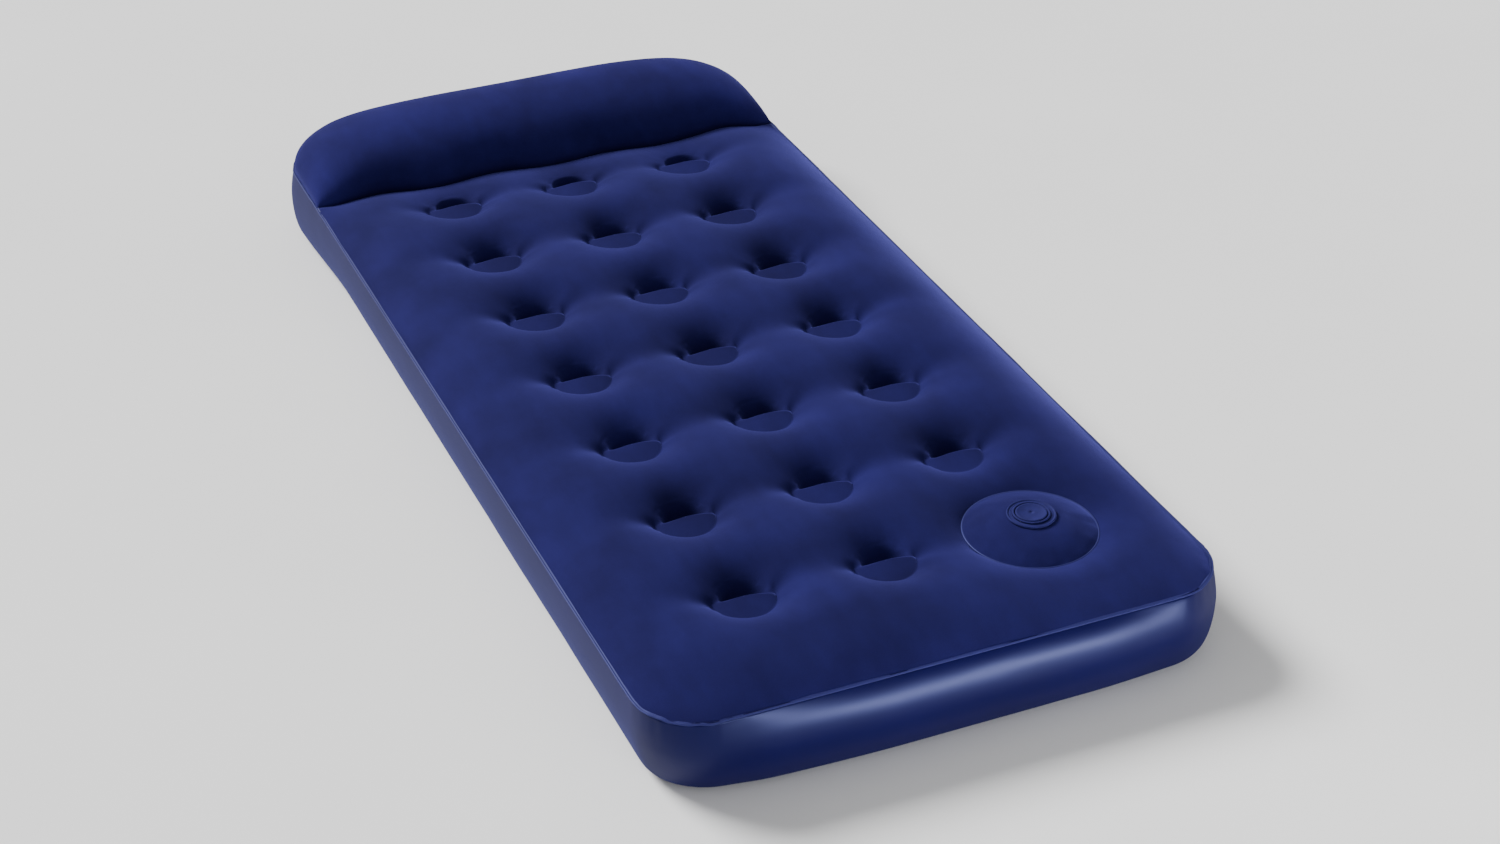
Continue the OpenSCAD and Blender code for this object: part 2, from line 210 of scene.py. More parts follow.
class Shader:
    """A principled material with short calls for the nodes used here."""

    def __init__(self, name, **sockets):
        self.material = bpy.data.materials.new(name)
        self.material.use_nodes = True
        self.tree = self.material.node_tree
        self.bsdf = self.tree.nodes["Principled BSDF"]
        for socket, value in sockets.items():
            self.bsdf.inputs[socket.replace("_", " ")].default_value = value
        self.coords = self.tree.nodes.new("ShaderNodeTexCoord").outputs["Object"]
        self.height = None

    def link(self, a, b):
        self.tree.links.new(a, b)

    def noise(self, scale, detail=3.0, stretch=(1, 1, 1)):
        mapping = self.tree.nodes.new("ShaderNodeMapping")
        mapping.inputs["Scale"].default_value = stretch
        self.link(self.coords, mapping.inputs["Vector"])
        node = self.tree.nodes.new("ShaderNodeTexNoise")
        node.inputs["Scale"].default_value = scale
        node.inputs["Detail"].default_value = detail
        self.link(mapping.outputs["Vector"], node.inputs["Vector"])
        return node.outputs["Fac"]

    def ramp(self, fac, stops):
        node = self.tree.nodes.new("ShaderNodeValToRGB")
        elements = node.color_ramp.elements
        while len(elements) < len(stops):
            elements.new(0.5)
        for element, (position, colour) in zip(elements, stops):
            element.position = position
            element.color = (*colour, 1)
        self.link(fac, node.inputs["Fac"])
        return node.outputs["Color"]

    def multiply(self, share, a, b):
        node = self.tree.nodes.new("ShaderNodeMix")
        node.data_type = "RGBA"
        node.blend_type = "MULTIPLY"
        node.inputs["Factor"].default_value = share
        self.link(a, node.inputs["A"])
        self.link(b, node.inputs["B"])
        return node.outputs["Result"]

    def colour(self, output):
        self.link(output, self.bsdf.inputs["Base Color"])

    def facing(self):
        """0 where the surface faces the eye, 1 where it turns away."""
        return self.tree.nodes.new("ShaderNodeLayerWeight").outputs["Facing"]

    def roughness(self, fac, low, high, start=0.0):
        """Roughness from low to high, as fac goes from start to 1."""
        node = self.tree.nodes.new("ShaderNodeMapRange")
        node.inputs["From Min"].default_value = start
        node.inputs["To Min"].default_value = low
        node.inputs["To Max"].default_value = high
        self.link(fac, node.inputs["Value"])
        self.link(node.outputs["Result"], self.bsdf.inputs["Roughness"])

    def bump(self, fac, strength, distance):
        """Adds one more layer of bump to the ones before it."""
        node = self.tree.nodes.new("ShaderNodeBump")
        node.inputs["Strength"].default_value = strength
        node.inputs["Distance"].default_value = distance
        self.link(fac, node.inputs["Height"])
        if self.height is not None:
            self.link(self.height, node.inputs["Normal"])
        self.height = node.outputs["Normal"]
        self.link(self.height, self.bsdf.inputs["Normal"])


def grey(v):
    return (v, v, v)


def flock_material(name, tint, sheen):
    """Short velvet flock: fine fibre grain, soft brushed patches and a pale sheen."""
    m = Shader(name, Roughness=0.92)
    m.bsdf.inputs["Specular IOR Level"].default_value = 0.06
    m.bsdf.inputs["Sheen Weight"].default_value = sheen
    m.bsdf.inputs["Sheen Roughness"].default_value = 0.38
    m.bsdf.inputs["Sheen Tint"].default_value = (0.22, 0.22, 0.95, 1)
    dark = tuple(0.74 * c for c in tint)
    light = tuple(1.22 * c for c in tint)
    patches = m.ramp(m.noise(7, 5), [(0.30, dark), (0.52, tint), (0.74, light)])
    fibres = m.ramp(m.noise(1400, 2), [(0.30, grey(0.62)), (0.70, grey(1.30))])
    brushed = m.ramp(m.noise(34, 4, (1, 0.35, 1)), [(0.35, grey(0.90)), (0.70, grey(1.10))])
    m.colour(m.multiply(0.55, m.multiply(0.8, patches, brushed), fibres))
    m.bump(m.noise(1100, 3), 0.35, 0.0006)
    m.bump(m.noise(90, 4), 0.12, 0.0010)
    return m.material


def vinyl_material(name, tint, rough, grain=0.04, shine=0.3, bloom=0.0):
    """Calendered vinyl sheet: even colour, a faint orange-peel, a bluish bloom, duller edge-on."""
    m = Shader(name, Roughness=rough)
    m.bsdf.inputs["Specular IOR Level"].default_value = shine
    m.bsdf.inputs["Specular Tint"].default_value = (0.40, 0.47, 1.0, 1)
    m.bsdf.inputs["Sheen Weight"].default_value = bloom
    m.bsdf.inputs["Sheen Roughness"].default_value = 0.35
    m.bsdf.inputs["Sheen Tint"].default_value = (0.16, 0.20, 1.0, 1)
    dark = tuple(0.86 * c for c in tint)
    light = tuple(1.10 * c for c in tint)
    m.colour(m.ramp(m.noise(5, 4), [(0.35, dark), (0.55, tint), (0.75, light)]))
    m.roughness(m.facing(), rough, min(rough + 0.5, 0.9), 0.35)
    m.bump(m.noise(420, 2), grain, 0.0004)
    m.bump(m.noise(14, 3), 0.06, 0.0020)
    return m.material


def moulded_material(name, tint, rough):
    """Moulded soft vinyl of the pump and valve fittings, with a fine sparked texture."""
    m = Shader(name, Roughness=rough)
    m.bsdf.inputs["Specular IOR Level"].default_value = 0.10
    dark = tuple(0.82 * c for c in tint)
    m.colour(m.ramp(m.noise(120, 4), [(0.35, dark), (0.65, tint)]))
    m.roughness(m.noise(300, 3), rough - 0.06, rough + 0.08)
    m.bump(m.noise(900, 2), 0.15, 0.0003)
    return m.material


def rubber_material():
    """Matt black rubber of the leaves, the seal and the valve's disc."""
    m = Shader("black_rubber", Roughness=0.62)
    m.colour(m.ramp(m.noise(200, 3), [(0.3, grey(0.012)), (0.7, grey(0.03))]))
    m.bump(m.noise(700, 3), 0.2, 0.0003)
    return m.material


def foam_material():
    """Open-cell foam; the hollows of the cells are painted darker than the struts, as painted shade.
    """
    m = Shader("pump_foam_cells", Roughness=0.95)
    cells = m.tree.nodes.new("ShaderNodeTexVoronoi")
    cells.inputs["Scale"].default_value = 450
    m.link(m.coords, cells.inputs["Vector"])
    # painted shade: the middle of each cell is darker than the struts round it
    pore_shade = (0.30, 0.26, 0.15)
    skeleton = (0.72, 0.66, 0.42)
    m.colour(m.ramp(cells.outputs["Distance"], [(0.15, pore_shade), (0.45, skeleton)]))
    m.bump(cells.outputs["Distance"], 0.6, 0.0012)
    return m.material


FLOCK = flock_material("navy_flock", (0.0100, 0.0088, 0.067), 0.34)
# The pillow's flock is the navy flock made about a third lighter, with less sheen: painted fill light
# on the pillow's shaded front.
PILLOW_FLOCK_PAINTED_FILL = flock_material("pillow_flock_painted_fill", (0.0130, 0.0112, 0.090), 0.12)
WALL_VINYL = vinyl_material("wall_vinyl", (0.002, 0.0008, 0.042), 0.34, 0.03, 0.26, 0.08)
# The welds' vinyl is tinted paler than the wall so that each seam reads as a thin light line: a
# painted highlight.
SEAM_VINYL_PAINTED_HIGHLIGHT = vinyl_material("seam_vinyl_painted_highlight", (0.020, 0.020, 0.110), 0.50, 0.05, 0.30)
BASE_VINYL = vinyl_material("base_vinyl", (0.016, 0.018, 0.100), 0.55, 0.10)
INNER_VINYL = vinyl_material("inner_vinyl", (0.07, 0.08, 0.22), 0.50)
MOULDED = moulded_material("moulded_navy", (0.016, 0.016, 0.105), 0.75)
RUBBER = rubber_material()
FOAM = foam_material()


# --- Plan outline -----------------------------------------------------------------------------


def outline_path():
    """Closed seam outline, anticlockwise from the right side: points, outward normals, distance."""
    points = []
    normals = []

    def straight(a, b, normal):
        count = max(2, round(math.dist(a, b) / 0.009))
        for k in range(count):
            t = k / count
            points.append((a[0] + (b[0] - a[0]) * t, a[1] + (b[1] - a[1]) * t))
            normals.append(normal)

    def arc(centre, radius, start):
        count = round(radius * math.pi / 2 / 0.0038)
        for k in range(count):
            a = start + math.pi / 2 * k / count
            normals.append((math.cos(a), math.sin(a)))
            points.append((centre[0] + radius * math.cos(a), centre[1] + radius * math.sin(a)))

    foot = Y_FOOT + FOOT_R
    head = Y_HEAD - HEAD_R
    straight((HALF_W, foot), (HALF_W, head), (1, 0))
    arc((HALF_W - HEAD_R, head), HEAD_R, 0)
    straight((HALF_W - HEAD_R, Y_HEAD), (HEAD_R - HALF_W, Y_HEAD), (0, 1))
    arc((HEAD_R - HALF_W, head), HEAD_R, math.pi / 2)
    straight((-HALF_W, head), (-HALF_W, foot), (-1, 0))
    arc((FOOT_R - HALF_W, foot), FOOT_R, math.pi)
    straight((FOOT_R - HALF_W, Y_FOOT), (HALF_W - FOOT_R, Y_FOOT), (0, -1))
    arc((HALF_W - FOOT_R, foot), FOOT_R, math.pi * 1.5)
    points = np.array(points)
    steps = np.linalg.norm(np.roll(points, -1, 0) - points, axis=1)
    return points, np.array(normals), np.concatenate([[0], np.cumsum(steps)[:-1]])


RIM, RIM_NORMAL, RIM_S = outline_path()


def near(x, y, cx, cy, radius):
    """1 at a plan point, falling smoothly to 0 at the radius."""
    return smooth(1 - np.hypot(x - cx, y - cy) / radius)


FOOT_LEFT = (FOOT_R * 0.3 - HALF_W, Y_FOOT + FOOT_R * 0.3)
FOOT_RIGHT = (HALF_W - FOOT_R * 0.3, Y_FOOT + FOOT_R * 0.3)
HEAD_LEFT = (HEAD_R * 0.3 - HALF_W, Y_HEAD - HEAD_R * 0.3)
HEAD_RIGHT = (HALF_W - HEAD_R * 0.3, Y_HEAD - HEAD_R * 0.3)
CREASE_LEFT = (-HALF_W, Y_CREASE)
CREASE_RIGHT = (HALF_W, Y_CREASE)


def corner_weight(x, y):
    """How much a place on the rim gathers into puckers: most at the corners and the crease's ends."""
    total = np.zeros(np.shape(x))
    for corner, reach, weight in (
        (FOOT_LEFT, 0.16, 1.0),
        (FOOT_RIGHT, 0.16, 1.0),
        (HEAD_LEFT, 0.20, 0.8),
        (HEAD_RIGHT, 0.20, 0.8),
        (CREASE_LEFT, 0.08, 0.9),
        (CREASE_RIGHT, 0.08, 0.9),
    ):
        total = np.maximum(total, weight * near(x, y, *corner, reach))
    return total


# --- Plan meshes of the two flocked skins -----------------------------------------------------


def line(a, b, count):
    """Evenly spaced points of a straight line, both ends included."""
    t = np.linspace(0, 1, count + 1)[:, None]
    return np.array(a) * (1 - t) + np.array(b) * t


def pinch(count, power):
    """0 to 1 in steps that are even at power 0 and finest at both ends at power 1."""
    t = np.linspace(0, 1, count + 1)
    return (1 - power) * t + power * (1 - np.cos(math.pi * t)) / 2


def between(start, end, shares):
    """Grid of points from one line of points to another, one row for each share."""
    shares = shares[:, None, None]
    return start[None] * (1 - shares) + end[None] * shares


def resample(path, at):
    """Points of a polyline at the given shares of its length."""
    path = np.array(path)
    s = np.concatenate([[0], np.cumsum(np.linalg.norm(np.diff(path, axis=0), axis=1))])
    s /= s[-1]
    return np.stack([np.interp(at, s, path[:, k]) for k in range(2)], 1)


def arc_points(centre, radius, a0, a1, count=64):
    a = np.linspace(a0, a1, count + 1)
    return np.stack([centre[0] + radius * np.cos(a), centre[1] + radius * np.sin(a)], 1)


def coons(low, high, left, right, s, t):
    """Grid between four edges. low and high run with s, left and right run with t."""
    s = s[None, :, None]
    t = t[:, None, None]
    grid = (1 - t) * low[None] + t * high[None] + (1 - s) * left[:, None] + s * right[:, None]
    corners = (1 - t) * ((1 - s) * low[0] + s * low[-1]) + t * ((1 - s) * high[0] + s * high[-1])
    return grid - corners


class PlanMesh:
    """A plan mesh put together from grids, whose shared edge points are merged."""

    def __init__(self):
        self.points = []
        self.faces = []
        self.count = 0

    def grid(self, points, closed=False):
        rows, cols = points.shape[:2]
        self.points.append(points.reshape(-1, 2))
        self.faces += [tuple(self.count + i for i in f) for f in grid_faces(rows, cols, closed)]
        self.count += rows * cols

    def merged(self):
        """Merged points and faces. A face that has lost a corner keeps its other three."""
        points = np.concatenate(self.points)
        keys = np.round(points * 1e6).astype(np.int64)
        _, first, index = np.unique(keys, axis=0, return_index=True, return_inverse=True)
        index = index.ravel()
        faces = []
        for face in self.faces:
            corners = []
            for i in face:
                if index[i] not in corners:
                    corners.append(int(index[i]))
            if len(corners) > 2:
                faces.append(tuple(corners))
        points = points[first]
        out = []
        for face in faces:
            p = points[list(face)]
            q = np.roll(p, -1, 0)
            area = np.sum(p[:, 0] * q[:, 1] - q[:, 0] * p[:, 1])
            out.append(face if area > 0 else face[::-1])
        return points, out


def triangles(faces):
    """Triangles of the faces. A quad is split along both diagonals, so that neither is favoured."""
    tris = []
    for f in faces:
        tris.append((f[0], f[1], f[2]))
        if len(f) == 4:
            tris.append((f[0], f[2], f[3]))
            tris.append((f[0], f[1], f[3]))
            tris.append((f[1], f[2], f[3]))
    return np.array(tris)


class Membrane:
    """Steady membrane over a plan mesh, solved with conjugate gradients."""

    def __init__(self, points, faces):
        tris = triangles(faces)
        i_list, j_list, w_list = [], [], []
        for a, b, c in ((0, 1, 2), (1, 2, 0), (2, 0, 1)):
            i, j, k = tris[:, a], tris[:, b], tris[:, c]
            u = points[i] - points[k]
            v = points[j] - points[k]
            cross = np.abs(u[:, 0] * v[:, 1] - u[:, 1] * v[:, 0])
            cot = np.sum(u * v, 1) / np.maximum(cross, 1e-12)
            i_list.append(i)
            j_list.append(j)
            w_list.append(cot / 2)
        self.i = np.concatenate(i_list)
        self.j = np.concatenate(j_list)
        self.w = np.concatenate(w_list)
        self.size = len(points)
        p, q, r = (points[tris[:, k]] for k in range(3))
        area = np.abs((q - p)[:, 0] * (r - p)[:, 1] - (q - p)[:, 1] * (r - p)[:, 0]) / 2
        self.area = np.zeros(self.size)
        for k in range(3):
            self.area += np.bincount(tris[:, k], area / 3, self.size)
        self.diagonal = np.bincount(self.i, self.w, self.size) + np.bincount(self.j, self.w, self.size)

    def product(self, x):
        flow = self.w * (x[self.i] - x[self.j])
        return np.bincount(self.i, flow, self.size) - np.bincount(self.j, flow, self.size)

    def solve(self, load, fixed, values, steps=900):
        """Heights under a load, with some points held at given values."""
        free = ~fixed
        x = np.where(fixed, values, 0.0)
        residual = np.where(free, load * self.area - self.product(x), 0.0)
        z = residual / self.diagonal
        direction = z.copy()
        rho = residual @ z
        target = rho * 1e-12
        for _ in range(steps):
            applied = np.where(free, self.product(direction), 0.0)
            alpha = rho / (direction @ applied)
            x += alpha * direction
            residual -= alpha * applied
            z = residual / self.diagonal
            rho, before = residual @ z, rho
            if rho < target:
                break
            direction = z + (rho / before) * direction
        return x


SIDE = 24
EDGE_STEPS = 18
CELL_X = [COL_X[0] - PITCH_X / 2 + PITCH_X * k for k in range(4)]
CELL_Y = [ROW_Y[-1] - PITCH_Y / 2 + PITCH_Y * k for k in range(ROWS)] + [Y_CREASE]


def cell_sides(column, level):
    """Edges of one dimple's cell: level 0 is the foot row."""
    x0, x1 = CELL_X[column], CELL_X[column + 1]
    y0, y1 = CELL_Y[level], CELL_Y[level + 1]
    return x0, x1, y0, y1


def weld_centre(row, column):
    """Middle of a dimple's round weld, a little towards the foot of its coil beam."""
    return COL_X[column] + WELD_SHIFT[0], ROW_Y[row] + WELD_SHIFT[1]


def directions(centre, boundary):
    """Unit vectors from a centre to the points of a boundary."""
    angle = np.arctan2(boundary[:, 1] - centre[1], boundary[:, 0] - centre[0])
    return np.stack([np.cos(angle), np.sin(angle)], 1)


def spokes(centre, radius, boundary, shares):
    """Grid of points between a circle and a closed boundary, along straight spokes."""
    ring = np.array(centre) + radius * directions(centre, boundary)
    return between(ring, boundary, shares)


def disc(centre, radius, boundary, steps):
    """Grid of points from the circle's centre to the circle, on the same spokes."""
    shares = np.linspace(0.0, 1, steps + 1)[:, None, None]
    return np.array(centre) + radius * shares * directions(centre, boundary)


def sleeping_surface():
    """Plan mesh from the foot seam to the crease: dimple cells, margins and the pump's corner."""
    mesh = PlanMesh()
    shares = pinch(26, 0.72)
    for level in range(ROWS):
        for column in range(3):
            if level == 0 and column == 2:
                continue
            x0, x1, y0, y1 = cell_sides(column, level)
            centre = weld_centre(ROWS - 1 - level, column)
            boundary = np.concatenate([
                line((x0, y0), (x1, y0), SIDE)[:-1],
                line((x1, y0), (x1, y1), SIDE)[:-1],
                line((x1, y1), (x0, y1), SIDE)[:-1],
                line((x0, y1), (x0, y0), SIDE)[:-1],
            ])
            mesh.grid(spokes(centre, WELD_R, boundary, shares), closed=True)
            mesh.grid(disc(centre, WELD_R, boundary, 22), closed=True)
    margin = pinch(EDGE_STEPS, 0.6)

    def side_margin(sign, inner_x, levels):
        outer_x = sign * HALF_W
        for level in levels:
            y0, y1 = CELL_Y[level], CELL_Y[level + 1]
            inner = line((inner_x, y0), (inner_x, y1), SIDE)
            outer = line((outer_x, y0), (outer_x, y1), SIDE)
            mesh.grid(between(outer, inner, margin))

    side_margin(-1, CELL_X[0], range(ROWS))
    side_margin(1, CELL_X[3], range(1, ROWS))
    for column in range(2):
        x0, x1 = CELL_X[column], CELL_X[column + 1]
        inner = line((x0, CELL_Y[0]), (x1, CELL_Y[0]), SIDE)
        outer = line((x0, Y_FOOT), (x1, Y_FOOT), SIDE)
        mesh.grid(between(outer, inner, margin))
    # foot-left corner
    arc_centre = (FOOT_R - HALF_W, Y_FOOT + FOOT_R)
    arc_mid = (arc_centre[0] - FOOT_R * math.sqrt(0.5), arc_centre[1] - FOOT_R * math.sqrt(0.5))
    inner_corner = (CELL_X[0], CELL_Y[0])
    low = resample([arc_mid] + list(arc_points(arc_centre, FOOT_R, math.pi * 1.25, math.pi * 1.5))
                   + [(CELL_X[0], Y_FOOT)], margin)
    left = resample([arc_mid] + list(arc_points(arc_centre, FOOT_R, math.pi * 1.25, math.pi))
                    + [(-HALF_W, CELL_Y[0])], margin)
    high = resample([(-HALF_W, CELL_Y[0]), inner_corner], margin)
    right = resample([(CELL_X[0], Y_FOOT), inner_corner], margin)
    mesh.grid(coons(low, high, left, right, margin, margin))
    # pump corner
    arc_centre = (HALF_W - FOOT_R, Y_FOOT + FOOT_R)
    boundary = np.concatenate([
        line((CELL_X[2], Y_FOOT), arc_points(arc_centre, FOOT_R, -math.pi / 2, 0)[0], 20)[:-1],
        arc_points(arc_centre, FOOT_R, -math.pi / 2, 0, 36)[:-1],
        line((HALF_W, arc_centre[1]), (HALF_W, CELL_Y[1]), 24)[:-1],
        resample([(HALF_W, CELL_Y[1]), (CELL_X[3], CELL_Y[1])], margin)[:-1],
        line((CELL_X[3], CELL_Y[1]), (CELL_X[2], CELL_Y[1]), SIDE)[:-1],
        line((CELL_X[2], CELL_Y[1]), (CELL_X[2], CELL_Y[0]), SIDE)[:-1],
        resample([(CELL_X[2], Y_FOOT), (CELL_X[2], CELL_Y[0])], margin)[::-1][:-1],
    ])
    mesh.grid(spokes((PUMP_X, PUMP_Y), PUMP_R, boundary, pinch(30, 0.7)), closed=True)
    return mesh.merged()


def pillow_plan():
    """Plan mesh from the crease to the head seam."""
    mesh = PlanMesh()
    centre_l = (HEAD_R - HALF_W, Y_HEAD - HEAD_R)
    centre_r = (HALF_W - HEAD_R, Y_HEAD - HEAD_R)
    along = pinch(150, 0.55)
    across = pinch(44, 0.8)
    a, b = math.pi * 0.75, math.pi * 0.25
    mid_l = arc_points(centre_l, HEAD_R, a, a, 1)[0]
    crease_l, crease_r = (-HALF_W, Y_CREASE), (HALF_W, Y_CREASE)
    low = resample([crease_l, crease_r], along)
    high = resample([mid_l] + list(arc_points(centre_l, HEAD_R, a, math.pi / 2))
                    + list(arc_points(centre_r, HEAD_R, math.pi / 2, b)), along)
    left = resample([crease_l] + list(arc_points(centre_l, HEAD_R, math.pi, a)), across)
    right = resample([crease_r] + list(arc_points(centre_r, HEAD_R, 0, b)), across)
    mesh.grid(coons(low, high, left, right, along, across))
    return mesh.merged()


def rim_distance(x, y):
    """Distance in from the seam outline, for plan points."""
    side = HALF_W - np.abs(x)
    gap = np.minimum(side, np.minimum(y - Y_FOOT, Y_HEAD - y))
    for radius, end in ((FOOT_R, y - Y_FOOT), (HEAD_R, Y_HEAD - y)):
        in_corner = (side < radius) & (end < radius)
        round_gap = radius - np.hypot(radius - side, radius - end)
        gap = np.where(in_corner, round_gap, gap)
    return np.maximum(gap, 0)


def crease_wave(x):
    """How far the crease wanders from its straight line: it is drawn towards each dimple."""
    swell = -0.0060 * np.cos(2 * math.pi * (x - COL_X[0]) / PITCH_X)
    right_end = 0.012 * np.exp(-(((x - 0.345) / 0.045) ** 2))
    return swell + right_end + 0.0035 * value_noise(x * 9, x * 0, 5, 3)


def skin_heights(points, faces):
    """Inflated height of the sleeping surface at each plan point."""
    x, y = points.T
    gap = rim_distance(x, y)
    at_seam = gap < AT_SEAM
    at_crease = y > Y_CREASE - ON_LINE
    ring_gap = np.full(x.shape, np.inf)
    inside = np.zeros(x.shape, bool)
    floor = np.zeros(x.shape)
    theta = np.zeros(x.shape)
    pleat = np.zeros(x.shape)
    clear = np.ones(x.shape)
    for row in range(ROWS):
        for column in range(3):
            if row == ROWS - 1 and column == 2:
                continue
            cx, cy = weld_centre(row, column)
            r = np.hypot(x - cx, y - cy)
            pleat += end_pleats(x - cx, y - cy, row, column)
            clear *= smooth((r - WELD_R) / VALLEY_CLEAR)
            closer = np.abs(r - WELD_R) < np.abs(ring_gap)
            ring_gap = np.where(closer, r - WELD_R, ring_gap)
            theta = np.where(closer, np.arctan2(y - cy, x - cx) + row * 2.1 + column * 0.7, theta)
            own = (r < WELD_R + ON_LINE) & ~far_rim(x - cx, y - cy, row, column)
            inside |= own
            floor = np.where(own, disc_height(x - cx, y - cy, row, column), floor)
    pump_gap = np.hypot(x - PUMP_X, y - PUMP_Y) - PUMP_R
    at_pump = pump_gap < ON_LINE
    fixed = at_seam | at_crease | inside | at_pump
    held = np.where(at_seam, SEAM_Z, WELD_Z)
    held = np.where(at_crease & ~at_seam, SEAM_Z + 0.001, held)
    held = np.where(at_pump, PUMP_Z, held)
    held = np.where(inside, WELD_Z, held)
    membrane = Membrane(points, faces)
    base = membrane.solve(0.0, fixed, held)
    load = membrane.solve(1.0, fixed, np.zeros(len(x)))
    free = load / np.median(load[load > np.quantile(load, 0.8)])
    z = base + CROWN_RISE * np.maximum(free, 0) ** CROWN_POWER
    z += inside * floor
    # valleys across the bed, from dimple to dimple
    for row, cy in enumerate(ROW_Y):
        dip = np.exp(-(((y - cy) / VALLEY_WIDTH) ** 2)) * clear * smooth((gap - 0.03) / 0.13)
        z -= VALLEY * dip * ~inside
    z -= PLEAT * pleat * ~inside
    # puckers that gather at the welds, the pump, the seam and the crease
    pull = np.exp(-np.abs(ring_gap) / 0.013) * smooth(np.abs(ring_gap) / 0.004)
    z += PUCKER * pull * value_noise(theta * 3.2, theta * 0, 11, 2) * ~inside
    fold = np.exp(-np.maximum(pump_gap, 0) / 0.02) * smooth(pump_gap / 0.004)
    pump_theta = np.arctan2(y - PUMP_Y, x - PUMP_X)
    z += 1.2 * PUCKER * fold * value_noise(pump_theta * 5, pump_theta * 0, 12, 2) * ~at_pump
    edge = np.exp(-gap / 0.022) * smooth(gap / 0.006)
    corner = corner_weight(x, y)
    z += edge * (0.0006 + 0.0022 * corner) * value_noise(x * 26 + y * 8, y * 26, 13, 3)
    crease_gap = Y_CREASE - y
    roll = np.exp(-crease_gap / 0.03) * smooth(crease_gap / 0.006)
    z += 0.0016 * roll * value_noise(x * 22, y * 6, 14, 2)
    z += 0.0009 * np.clip(free, 0, 1) * value_noise(x * 9, y * 9, 15, 3)
    return z, gap


def end_pleats(dx, dy, row, column):
    """Folds that run out from the two ends of a dimple's ridge, widening as they fade."""
    out = np.maximum(np.abs(dx) - WELD_R * 0.9, 0)
    slope = 0.10 * np.sign(dx) + 0.12 * math.sin(1.3 * row + 2.9 * column)
    width = 0.008 + 0.30 * out
    fold = np.exp(-(((dy - slope * out) / width) ** 2))
    return fold * np.exp(-out / 0.040) * smooth(out / 0.010)


def ridge_distance(dx, dy, row, column):
    """How far a plan point lies behind a dimple's ridge, seen from the foot."""
    skew = 0.05 * math.sin(1.7 * row + 2.3 * column) - 0.12
    return dy - skew * dx


def coil_distance(dx, dy):
    """Distance from the middle of the coil beam, for a plan point given from the weld's middle."""
    return np.hypot(dx + WELD_SHIFT[0], dy + WELD_SHIFT[1])


def far_rim(dx, dy, row, column):
    """The part of the weld behind the ridge and outside the pocket, where the skin hangs free."""
    return (ridge_distance(dx, dy, row, column) > RIDGE_FALL) & (coil_distance(dx, dy) > POCKET_R)


def disc_height(dx, dy, row, column):
    """Floor of a dimple: the near half tilts up to a ridge, the far half drops into the coil beam."""
    across = ridge_distance(dx, dy, row, column)
    reach = np.sqrt(np.maximum(WELD_R**2 - dx**2, 1e-8))
    left = 0.35 + 0.65 * smooth((dx + WELD_R * 0.9) / (1.2 * WELD_R))
    end = left * smooth((dx + WELD_R) / 0.014)
    end *= np.sqrt(np.maximum(1 - np.clip(dx / WELD_R, 0, 1) ** 5, 0))
    front = np.maximum(1 - np.abs(np.minimum(across, 0)) / reach, 0)
    behind = np.maximum(across, 0)
    fall = smooth(behind / RIDGE_FALL)
    rim = smooth((POCKET_R - coil_distance(dx, dy)) / 0.010)
    far = RIDGE * end * (1 - fall) - POCKET * rim * fall
    return np.where(across < 0, RIDGE * end * front, far)


def solidify(obj, thickness):
    """Give a single skin its thickness, inwards."""
    modifier = obj.modifiers.new("thickness", "SOLIDIFY")
    modifier.thickness = thickness
    modifier.offset = -1


def build_sleeping_surface():
    """Flocked sheet of the sleeping surface, drawn a little towards the wandering crease."""
    points, faces = sleeping_surface()
    z, gap = skin_heights(points, faces)
    x, y = points.T
    pull = np.exp(-np.maximum(Y_CREASE - y, 0) / CREASE_REACH)
    y = y + crease_wave(x) * pull * smooth(gap / CREASE_END)
    inset = 0.0008 * np.exp(-gap / 0.004)
    verts = np.stack([x * (1 - inset), y, z], 1)
    obj = add_mesh("flocked_top", verts, faces, FLOCK)
    solidify(obj, SHEET_T)
    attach(obj, "bed")
    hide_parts("top_sheet")


def build_pillow():
    """Flocked cover of the pillow, fullest along its crest."""
    points, faces = pillow_plan()
    x, y = points.T
    gap = rim_distance(x, y)
    at_crease = y < Y_CREASE + ON_LINE
    fixed = (gap < AT_SEAM) | at_crease
    membrane = Membrane(points, faces)
    load = membrane.solve(1.0, fixed, np.zeros(len(x)))
    free = np.maximum(load / np.median(load[load > np.quantile(load, 0.9)]), 0)
    rise = PILLOW_Z - SEAM_Z - 0.001
    # the crest climbs a little to the right and dips between the ends and the middle
    sway = 1 + 0.05 * smooth((x + 0.35) / 0.6) - 0.010 * np.cos(x * 14)
    z = SEAM_Z + rise * free**PILLOW_POWER * sway
    crease_gap = np.maximum(y - Y_CREASE, 0)
    edge = np.exp(-gap / 0.030) * smooth(gap / 0.008)
    corner = corner_weight(x, y)
    z += edge * (0.0008 + 0.0030 * corner) * value_noise(x * 24 + y * 9, y * 24, 23, 3)
    fold = np.exp(-crease_gap / 0.04) * smooth(crease_gap / 0.006)
    z += 0.0022 * fold * value_noise(x * 16, y * 7, 24, 3)
    z += 0.0012 * np.clip(free, 0, 1) * value_noise(x * 7, y * 9, 25, 3)
    pull = np.exp(-crease_gap / CREASE_REACH)
    y = y + crease_wave(x) * pull * smooth(gap / CREASE_END)
    # the lighter pillow flock is painted fill light on its shaded front
    obj = add_mesh("flocked_pillow", np.stack([x, y, z], 1), faces, PILLOW_FLOCK_PAINTED_FILL)
    solidify(obj, SHEET_T)
    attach(obj, "bed")
    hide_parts("pillow_cover")


# --- Wall and seam ----------------------------------------------------------------------------


